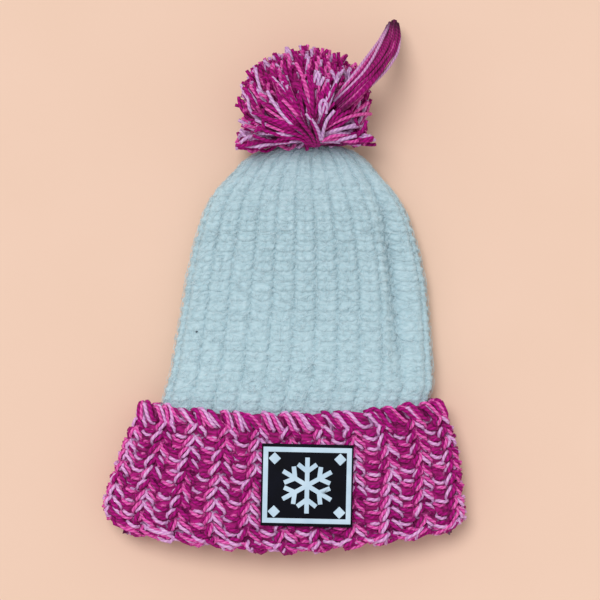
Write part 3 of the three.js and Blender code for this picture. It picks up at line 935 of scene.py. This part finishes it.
def backing_material(name, deep, light, grain):
    """Matted wool seen in the gaps between stitches. Its fibres mostly run round the hat."""
    material, tree, surface = new_material(name, 0.95)
    stretch = tree.nodes.new("ShaderNodeMapping")
    stretch.inputs["Scale"].default_value = (0.3, 1, 1)
    tree.links.new(object_place(tree), stretch.inputs["Vector"])
    matted = noise(tree, stretch.outputs["Vector"], grain, 4)
    colour = colour_ramp(tree, matted, [(0.35, deep), (0.65, light)])
    tree.links.new(colour, surface.inputs["Base Color"])
    add_bump(tree, surface, matted, 0.6, 0.8 * MM)
    return material


# Its deep end, darker than the magenta yarn, is painted shade in the gaps and inside the pom-pom.
matted_magenta_painted_shade = backing_material("matted_magenta_painted_shade", (96, 0, 64), (186, 16, 132), 500)
matted_ice = backing_material("matted_ice", (168, 196, 205), (188, 212, 221), 700)
from_fold = np.abs(cuff_face.rows - OUTSIDE_ROWS - FOLD_ROWS / 2)
cuff_near = (4.4 + 2.2 * (1 - smooth(from_fold, 0.8, 2.5)))[:, None] * MM
fold_line = cuff_face.points[np.argmin(from_fold)]
inside_fold = fold_level(fold_line[:, 0] - HAT_SHIFT.x) + HAT_SHIFT.y + 5 * MM
cuff_wall = closed_wall("cuff_backing", cuff_face, cuff_near, 6.2 * MM, matted_magenta_painted_shade, 4, inside_fold)
rib_groove = np.maximum(np.cos(2 * np.pi * (CROWN_RIBS * TURNS - 0.5)), 0) ** 4
near_gather = smooth(crown_face.rows, CROWN_KNIT_END - 9, CROWN_KNIT_END - 3.5)[:, None]
crown_near = (1.5 - 1.3 * near_gather + (1.8 - 0.4 * near_gather) * rib_groove) * MM
crown_wall = closed_wall("crown_backing", crown_face, crown_near, 4.4 * MM, matted_ice, 2)

# %% [markdown]
# ## Fuzz
# The crown's soft yarn has a haze of loose fibres. Each is a hair-thin path that starts between the
# stitches, rises a little over them and lies down again. One dark fleck of lint sits at the lower left.

# %% Loose fibres on the crown
FIBRE_COUNT = 9000
FIBRE_RADIUS = 0.1 * MM
FIBRE_ROOT = 1.2 * MM


def loose_fibres(face, count, low_row, high_row, seed):
    rng = np.random.default_rng(seed)
    place = np.array([0, 0.5, 1])
    row = rng.uniform(low_row, high_row, count)[:, None]
    turn = rng.uniform(0, 1, count)[:, None]
    heading = rng.uniform(0, 2 * np.pi, count)[:, None]
    reach = rng.uniform(3, 8, count)[:, None] * MM
    rows = np.clip(row + np.cos(heading) * reach * place / CROWN_ROW, low_row, high_row)
    turns = turn + np.sin(heading) * reach * place / face.round_length(row)
    top = rng.uniform(0.1, 0.8, count)[:, None] * MM
    lift = -FIBRE_ROOT + (top + FIBRE_ROOT) * np.array([0, 1, 0.75])
    points = face.place(rows, turns, lift)
    points[:, :, 2] = np.maximum(points[:, :, 2], FLOOR_GAP)
    taper = np.array([1, 0.9, 0.5])
    return [Path(fibre, taper) for fibre in points]


ice_fibre = backing_material("ice_fibre", (196, 220, 228), (218, 236, 243), 300)
crown_fibres = loose_fibres(crown_face, FIBRE_COUNT, -0.5, CROWN_KNIT_END, 41)
crown_fuzz = sweep_yarn("crown_fuzz", crown_fibres, ice_fibre, FIBRE_RADIUS, sides=3)

# %% A dark fleck of lint
FLECK_SPOT = Vector((-56.9, -29.9)) * MM
FLECK_CURL = 0.45 * MM
FLECK_RADIUS = 0.3 * MM


def fleck_path(face, spot):
    """A short curl on the knit nearest to a place in the frame."""
    gap = np.hypot(face.points[:, :, 0] - spot.x, face.points[:, :, 1] - spot.y)
    gap[face.normals[:, :, 2] < 0.5] = np.inf
    ring, index = np.unravel_index(np.argmin(gap), gap.shape)
    angle = np.linspace(0, 1.4 * np.pi, 8)
    curl = np.stack([np.cos(angle), np.sin(angle), 0.3 * angle], axis=1) * FLECK_CURL
    return Path(face.points[ring, index] + curl)


lint = backing_material("dark_lint", (34, 40, 56), (58, 64, 80), 2500)
fleck = [fleck_path(crown_face, FLECK_SPOT)]
crown_fleck = sweep_yarn("crown_fleck", fleck, lint, FLECK_RADIUS, sides=6)

# %% [markdown]
# ## The pom-pom
# A pom-pom is many strands of yarn tied at one point and trimmed to a ball. Each strand leaves the tie,
# bends outwards and ends in a blunt cut near the ball's surface. Some sweep out sideways like a skirt
# beside the crown's end, some are combed into a fan over the front, and a few lie on top near the tie.

# %% Strands of the pom-pom
POM_CENTRE = np.array([13.0, 295.6, 34.5]) * MM
POM_RADII = np.array([45, 35, 38]) * MM
TIE = np.array([18.0, 267.8, 33]) * MM
PARTING_SLOPE = 0.12
STRAND_RADIUS = 1.2 * MM
STRAND_STEPS = 12
SURFACE_SHARE = 0.93


def in_frame(point):
    return np.asarray(point) + np.array([HAT_SHIFT.x, HAT_SHIFT.y, 0])


def bezier(a, b, c, d, count):
    t = np.linspace(0, 1, count)[:, None]
    return a * (1 - t) ** 3 + 3 * b * t * (1 - t) ** 2 + 3 * c * t * t * (1 - t) + d * t**3


def threaded(knots, count):
    """count points on the line through the knots, with its corners smoothed away."""
    place = np.linspace(0, 1, count)
    grid = np.linspace(0, 1, len(knots))
    line = np.stack([np.interp(place, grid, axis) for axis in knots.T], axis=1)
    for _ in range(3):
        line[1:-1] = (line[:-2] + 2 * line[1:-1] + line[2:]) / 4
    return line


def ball_top(x, y):
    """How high the ball's front is over the table at a place."""
    share = ((x - POM_CENTRE[0]) / POM_RADII[0]) ** 2 + ((y - POM_CENTRE[1]) / POM_RADII[1]) ** 2
    return POM_CENTRE[2] + POM_RADII[2] * np.sqrt(np.clip(1 - share, 0, 1))


def pompom_strand(end, combed, rng):
    """One strand: it leaves the tie sideways and turns upwards, like the water of a fountain.
    combed: how near the ball's front it lies on its way, from 0 to 1."""
    start = TIE + rng.normal(size=3) * np.array([2.8, 1.2, 2.4]) * MM + np.array([0, 1.5, 0]) * MM
    chord = end - start
    ahead = chord * np.array([0, 1, 0])
    aside = chord - ahead
    lean = rng.uniform(0.25, 1)
    second = start + aside * (0.3 + 0.5 * lean) + ahead * 0.15
    third = end - ahead * 0.55 * lean - aside * (0.4 - 0.3 * lean) + rng.normal(size=3) * 4 * MM
    points = bezier(start, second, third, end, STRAND_STEPS)
    place = np.linspace(0, 1, STRAND_STEPS)
    height = 0.9 * ball_top(points[:, 0], points[:, 1])
    points[:, 2] += np.maximum(height - points[:, 2], 0) * combed * smooth(place, 0, 0.5) * (1.3 - place)
    wave = rng.normal(size=3) * 1.4 * MM
    points += np.sin(np.linspace(0, np.pi * rng.uniform(1, 2.5), STRAND_STEPS))[:, None] * wave
    points[:, 2] = np.maximum(points[:, 2], STRAND_RADIUS * 1.1 + FLOOR_GAP)
    # Painted shade: the strand is darkest at the tie, inside the ball, and unshaded towards its cut end.
    return Path(in_frame(points), 0.9 + 0.2 * place, 0, smooth(place, 0, 0.85))


def ball_strands(count, rng):
    """Strands that end all over the ball, but seldom where they would hide the tie from the front."""
    strands = []
    while len(strands) < count:
        aim = rng.normal(size=3)
        aim /= np.linalg.norm(aim)
        reach = min(0.9 + 0.05 * rng.normal(), 0.95)
        end = POM_CENTRE + aim * POM_RADII * reach
        behind_parting = (end - TIE)[1] - PARTING_SLOPE * (end - TIE)[2] < -2 * MM
        hides_tie = aim[2] > 0.1 and rng.uniform() > 0.45 + 1.3 * aim[1]
        if behind_parting or hides_tie or end[2] < -4 * MM:
            continue
        combed = max(rng.uniform(-1.3, 0.9), 0)
        strands.append(pompom_strand(end, combed, rng))
    return strands


def skirt_strands(count, rng):
    """Strands that sweep out sideways from the tie, over the ball's lower half and beside the crown."""
    strands = []
    for index in range(count):
        side = -1 if index % 5 < 3 else 1
        rise = rng.uniform(-0.2, 1) ** 3 + rng.uniform(-0.15, 0.1)
        out = rng.uniform(0.66, 1.0) * math.sqrt(1 - 0.3 * abs(rise))
        end = TIE * [1, 1, 0] + np.array([
            side * out * POM_RADII[0] - (TIE - POM_CENTRE)[0],
            rise * 34 * MM,
            rng.uniform(14, 56) * MM,
        ])
        strands.append(pompom_strand(end, rng.uniform(0, 1), rng))
    return strands


def fan_strands(count, rng):
    """Strands combed flat over the ball's front, which fan out from the tie."""
    strands = []
    for _ in range(count):
        angle = np.pi * (1.06 - 1.1 * rng.uniform() ** 1.3)
        share = np.linspace(0.05, rng.uniform(0.5, 0.88), 14)
        heading = np.clip(angle + 0.4 * rng.normal() * share, -0.02 * np.pi, 1.03 * np.pi)
        reach = share * (42 + 16 * math.sin(angle)) * MM
        x = TIE[0] + reach * np.cos(heading)
        y = TIE[1] + reach * np.sin(heading)
        surface = SURFACE_SHARE * ball_top(x, y) + rng.uniform(0, 3) * MM
        height = TIE[2] + (surface - TIE[2]) * smooth(share, -0.1, 0.35)
        points = np.column_stack([x, y, height])
        # Painted shade: each fanned strand is darker near the tie.
        strands.append(Path(in_frame(points), 0.95 + 0.1 * rng.normal(), 0, smooth(share, -0.4, 0.3)))
    return strands


# Colour, yarn, strands in the ball, in the skirt and in the fan, and the seed of their random draws.
POM_COLOURS = [
    ("magenta", magenta_yarn, 500, 70, 34, 5),
    ("pink", pink_yarn, 200, 30, 8, 6),
    ("lilac", pale_strand, 270, 44, 20, 7),
]
# Strands on top of the others near the tie: colour, thickness, and places right and forward of the tie
# in millimetres. The first two lilac ones make a pale fork and the last is a pale loop.
TOP_STRANDS = [
    ("magenta", 1.9, [(2, -3), (0, 2), (-5, 8), (-10, 14)]),
    ("magenta", 1.9, [(1, -4), (-3, 1), (-8, 6), (-15, 9)]),
    ("magenta", 1.8, [(-1, -3), (-5, 1), (-10, 3), (-18, 5)]),
    ("magenta", 1.7, [(-3, -3), (-7, 0), (-13, 1), (-22, 0)]),
    ("magenta", 1.6, [(4, -3), (3, 3), (0, 10), (-3, 17)]),
    ("lilac", 1.1, [(5, 0), (4, 5), (1, 10), (-4, 16)]),
    ("lilac", 1.1, [(6, 0), (7, 6), (9, 12), (14, 18)]),
    ("pink", 1.2, [(6, -1), (12, 2), (18, 3), (26, 3)]),
    ("lilac", 0.8, [(5, 15), (4.5, 20), (5, 23), (7, 25), (9, 23), (9, 20), (8.5, 16)]),
]


def top_strand(knots, thick):
    line = threaded(np.array(knots) * MM + TIE[:2], 20)
    height = SURFACE_SHARE * ball_top(line[:, 0], line[:, 1]) + 3 * MM
    return Path(in_frame(np.column_stack([line, height])), thick)


pompom_pieces = []
for colour, material, in_ball, in_skirt, in_fan, seed in POM_COLOURS:
    rng = np.random.default_rng(seed)
    paths = ball_strands(in_ball, rng) + skirt_strands(in_skirt, rng) + fan_strands(in_fan, rng)
    paths += [top_strand(knots, thick) for which, thick, knots in TOP_STRANDS if which == colour]
    pompom_pieces.append(sweep_yarn("pompom_strands_" + colour, paths, material, STRAND_RADIUS))


# %% The ball's core, dark with painted shade
def pompom_heart(name, share, material):
    """A rough closed ball under the strands."""
    bpy.ops.mesh.primitive_ico_sphere_add(subdivisions=5, radius=1)
    piece = bpy.context.object
    piece.name = name
    mesh = piece.data
    points = np.zeros(len(mesh.vertices) * 3)
    mesh.vertices.foreach_get("co", points)
    points = points.reshape(-1, 3)
    ripple = 1 + 0.03 * np.sin(9 * points[:, 0] + 5 * points[:, 2]) * np.cos(8 * points[:, 1])
    points = POM_CENTRE + points * POM_RADII * share * ripple[:, None]
    parting = TIE[1] + PARTING_SLOPE * (points[:, 2] - TIE[2]) + 1 * MM
    points[:, 1] = np.maximum(points[:, 1], parting)
    points[:, 2] = np.maximum(points[:, 2], 0.5 * MM)
    mesh.vertices.foreach_set("co", in_frame(points).ravel())
    mesh.shade_smooth()
    mesh.materials.clear()
    mesh.materials.append(material)
    print(name, "has", triangles(piece), "triangles")
    return piece


# Its dark magenta is painted shade of the ball's inside.
pompom_core = pompom_heart("pompom_core", 0.72, matted_magenta_painted_shade)

# %% [markdown]
# ## The tie and the tail
# The strands are bound by a loop of the same yarn, sewn to the gathered end. One bundle was never trimmed:
# it lies across the ball and its tip reaches down towards the table.

# %% The long tail
POM_WIDTH = 90 * MM
POM_LENGTH = 70 * MM
POM_HEIGHT = 76 * MM
TAIL_LENGTH = 80 * MM
TAIL_WIDTH = 15.6 * MM
TAIL_DEPTH = 9 * MM
TAIL_ROOT = np.array([0.24 * POM_WIDTH, -0.09 * POM_LENGTH, 0])
# right and forward: of TAIL_LENGTH. height: of POM_HEIGHT. width, depth: of TAIL_WIDTH and TAIL_DEPTH.
TAIL_SECTIONS = {
    "right": [0, 0.11, 0.22, 0.32, 0.4, 0.44, 0.455],
    "forward": [0, 0.1, 0.22, 0.35, 0.48, 0.6, 0.715],
    "height": [0.82, 0.88, 0.82, 0.67, 0.48, 0.31, 0.19],
    "width": [0.75, 0.92, 1.0, 1.05, 1.02, 0.86, 0.52],
    "depth": [0.8, 1.0, 1.0, 1.0, 0.9, 0.8, 0.6],
}
TAIL_STEPS = 40
TAIL_STRANDS = 42
TAIL_STRAND_RADIUS = 1.0 * MM


def tail_line():
    """The tail's middle line and the directions across and over it, at TAIL_STEPS places."""
    start = POM_CENTRE + TAIL_ROOT
    knots = np.column_stack([
        start[0] + TAIL_LENGTH * np.array(TAIL_SECTIONS["right"]),
        start[1] + TAIL_LENGTH * np.array(TAIL_SECTIONS["forward"]),
        POM_HEIGHT * np.array(TAIL_SECTIONS["height"]),
    ])
    line = threaded(knots, TAIL_STEPS)
    place = np.linspace(0, 1, TAIL_STEPS)
    grid = np.linspace(0, 1, len(knots))
    ahead = np.gradient(line, axis=0)
    ahead /= np.linalg.norm(ahead, axis=1, keepdims=True)
    across = np.cross(ahead, [0, 0, 1])
    across /= np.linalg.norm(across, axis=1, keepdims=True)
    over = np.cross(across, ahead)
    width = np.interp(place, grid, TAIL_SECTIONS["width"]) * TAIL_WIDTH / 2
    depth = np.interp(place, grid, TAIL_SECTIONS["depth"]) * TAIL_DEPTH / 2
    return line, across, over, width, depth


def tail_strand(side, high, rng):
    """One strand. side and high say where it runs in the bundle, from -1 to 1."""
    line, across, over, width, depth = tail_line()
    place = np.linspace(0, 1, TAIL_STEPS)
    sway = 0.14 * np.sin(place * rng.uniform(3, 8) + rng.uniform(0, 6))
    rise = 0.14 * np.sin(place * rng.uniform(3, 8) + rng.uniform(0, 6))
    across_by = (side + sway) * (width - TAIL_STRAND_RADIUS)
    over_by = (high + rise) * (depth - TAIL_STRAND_RADIUS)
    points = line + across * across_by[:, None] + over * over_by[:, None]
    points[:, 2] = np.maximum(points[:, 2], TAIL_STRAND_RADIUS + FLOOR_GAP)
    kept = TAIL_STEPS - rng.integers(0, 3)
    # The shade each point carries darkens the whole tail a little and its tip most; the darker root is
    # painted shade where it leaves the ball.
    shade = 0.75 - 0.75 * smooth(place, 0.75, 0.97) - 0.5 * (1 - smooth(place, 0, 0.2))
    return Path(in_frame(points[:kept]), 1.0, 0, shade[:kept])


def tail_strands(count, seed):
    """Strands for each colour: lilac at the bundle's two edges, magenta and pink between them."""
    rng = np.random.default_rng(seed)
    strands = {"magenta": [], "pink": [], "lilac": []}
    for index in range(count):
        angle = 2.4 * index
        reach = math.sqrt((index + 0.5) / count)
        side = reach * math.cos(angle)
        draw = rng.uniform()
        if abs(side) > 0.88 or draw > 0.96:
            colour = "lilac"
        elif draw > 0.9:
            colour = "pink"
        else:
            colour = "magenta"
        strands[colour].append(tail_strand(side, reach * math.sin(angle), rng))
    return strands


tail_bundle = tail_strands(TAIL_STRANDS, 31)
TAIL_YARNS = [("lilac", lilac_yarn), ("magenta", magenta_yarn), ("pink", pink_yarn)]
tail_pieces = []
for colour, material in TAIL_YARNS:
    name = "pompom_tail_" + colour
    tail_pieces.append(sweep_yarn(name, tail_bundle[colour], material, TAIL_STRAND_RADIUS, sides=6))


# %% The tie's loop and the knot
TIE_YARN_RADIUS = 1.4 * MM


def tie_paths():
    """A small closed loop beside the knot, and turns of yarn that bind the strands."""
    low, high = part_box("pompom_tie")
    middle = np.array((low + high) / 2)
    radius = (high.x - low.x) / 2 - TIE_YARN_RADIUS
    angle = np.linspace(0, 2 * np.pi, 40, endpoint=False)
    loop = np.stack([radius * np.cos(angle), radius * np.sin(angle), 0.8 * MM * np.sin(2 * angle)], axis=1)
    loops = [Path(middle + loop)]
    knot = in_frame(TIE)
    for turn in range(3):
        width = (4.6 - 0.5 * turn) * MM
        ring = np.stack([
            width * np.cos(angle),
            (-1.5 + 2.2 * turn) * MM + 1.2 * MM * np.sin(angle),
            2 * MM + 4.2 * MM * np.sin(angle),
        ], axis=1)
        loops.append(Path(knot + ring))
    return loops


tie_piece = sweep_yarn("pompom_tie_yarn", tie_paths(), magenta_yarn, TIE_YARN_RADIUS, closed=True, sides=7)

# %% [markdown]
# ## The patch
# The patch is a flat rubbery plate with a pale raised frame and motif. Copies of its solids get soft
# edges, as moulding leaves them.

# %% Rubber for the plate and its relief
def rubber_material(name, deep, light, grain, roughness, shine):
    """Faintly clouded rubber, whose roughness varies a little with a fine grain."""
    material, tree, surface = new_material(name, roughness, shine)
    place = object_place(tree)
    colour = colour_ramp(tree, noise(tree, place, 90, 3), [(0.3, deep), (0.7, light)])
    tree.links.new(colour, surface.inputs["Base Color"])
    fine = noise(tree, place, grain, 2)
    spread = math_node(tree, "MULTIPLY", fine, 0.2)
    tree.links.new(math_node(tree, "ADD", spread, roughness - 0.1), surface.inputs["Roughness"])
    add_bump(tree, surface, fine, 0.35, 0.15 * MM)
    return material


black_rubber = rubber_material("black_rubber", (0, 1, 8), (3, 5, 20), 1600, 0.7, 0.12)
pale_rubber = rubber_material("pale_rubber", (176, 202, 222), (196, 218, 234), 1200, 0.65, 0.35)


# %% Soft-edged copies of the patch's solids
def soft_copy(node, edge, segments, material):
    """A merged copy of a solid with rounded edges, which stands for it."""
    piece = new_piece(node + "_moulded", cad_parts[node].data.copy())
    bpy.context.view_layer.objects.active = piece
    weld = piece.modifiers.new("weld", "WELD")
    weld.merge_threshold = 1e-6
    bevel = piece.modifiers.new("bevel", "BEVEL")
    bevel.width = edge
    bevel.segments = segments
    bevel.limit_method = "ANGLE"
    bevel.angle_limit = math.radians(40)
    finished = piece.evaluated_get(bpy.context.evaluated_depsgraph_get())
    piece.data = bpy.data.meshes.new_from_object(finished)
    piece.modifiers.clear()
    piece.data.name = piece.name
    piece.data.materials.clear()
    piece.data.materials.append(material)
    piece.data.shade_smooth()
    piece.data.set_sharp_from_angle(angle=math.radians(35))
    print(piece.name, "has", triangles(piece), "triangles")
    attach(piece, "root")
    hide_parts(node)
    return piece


PATCH_CORNERS = ["lower_left", "lower_right", "upper_left", "upper_right"]
soft_copy("patch_base", 0.45 * MM, 4, black_rubber)
soft_copy("patch_frame", 0.25 * MM, 3, pale_rubber)
soft_copy("patch_snowflake", 0.22 * MM, 3, pale_rubber)
for corner in PATCH_CORNERS:
    soft_copy("patch_diamond_" + corner, 0.22 * MM, 3, pale_rubber)

# %% [markdown]
# ## Put the soft pieces in place of the solids
# Each soft piece rides on the hat's one body and takes the place of its solid, which is hidden.

# %% Ride and replace
for piece in cuff_pieces + [cuff_wall]:
    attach(piece, "root")
    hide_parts("cuff")
for piece in [crown_piece, crown_wall, crown_fuzz, crown_fleck]:
    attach(piece, "root")
    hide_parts("crown")
for piece in pompom_pieces + [pompom_core]:
    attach(piece, "root")
    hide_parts("pompom")
for piece in tail_pieces:
    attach(piece, "root")
    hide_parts("pompom_tail")
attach(tie_piece, "root")
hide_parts("pompom_tie")

# %% [markdown]
# ## The table
# A plain pale floor in the peach of the photograph's background, with the faintest mottle.

# %% Floor
FLOOR_SIZE = 6.0


def floor_material():
    material, tree, surface = new_material("peach_floor", 0.95, 0.1)
    tone = noise(tree, object_place(tree), 12, 2)
    colour = colour_ramp(tree, tone, [(0, (231, 198, 176)), (1, (235, 202, 182))])
    tree.links.new(colour, surface.inputs["Base Color"])
    return material


bpy.ops.mesh.primitive_plane_add(size=FLOOR_SIZE)
floor = bpy.context.object
floor.name = "floor"
floor.data.materials.append(floor_material())
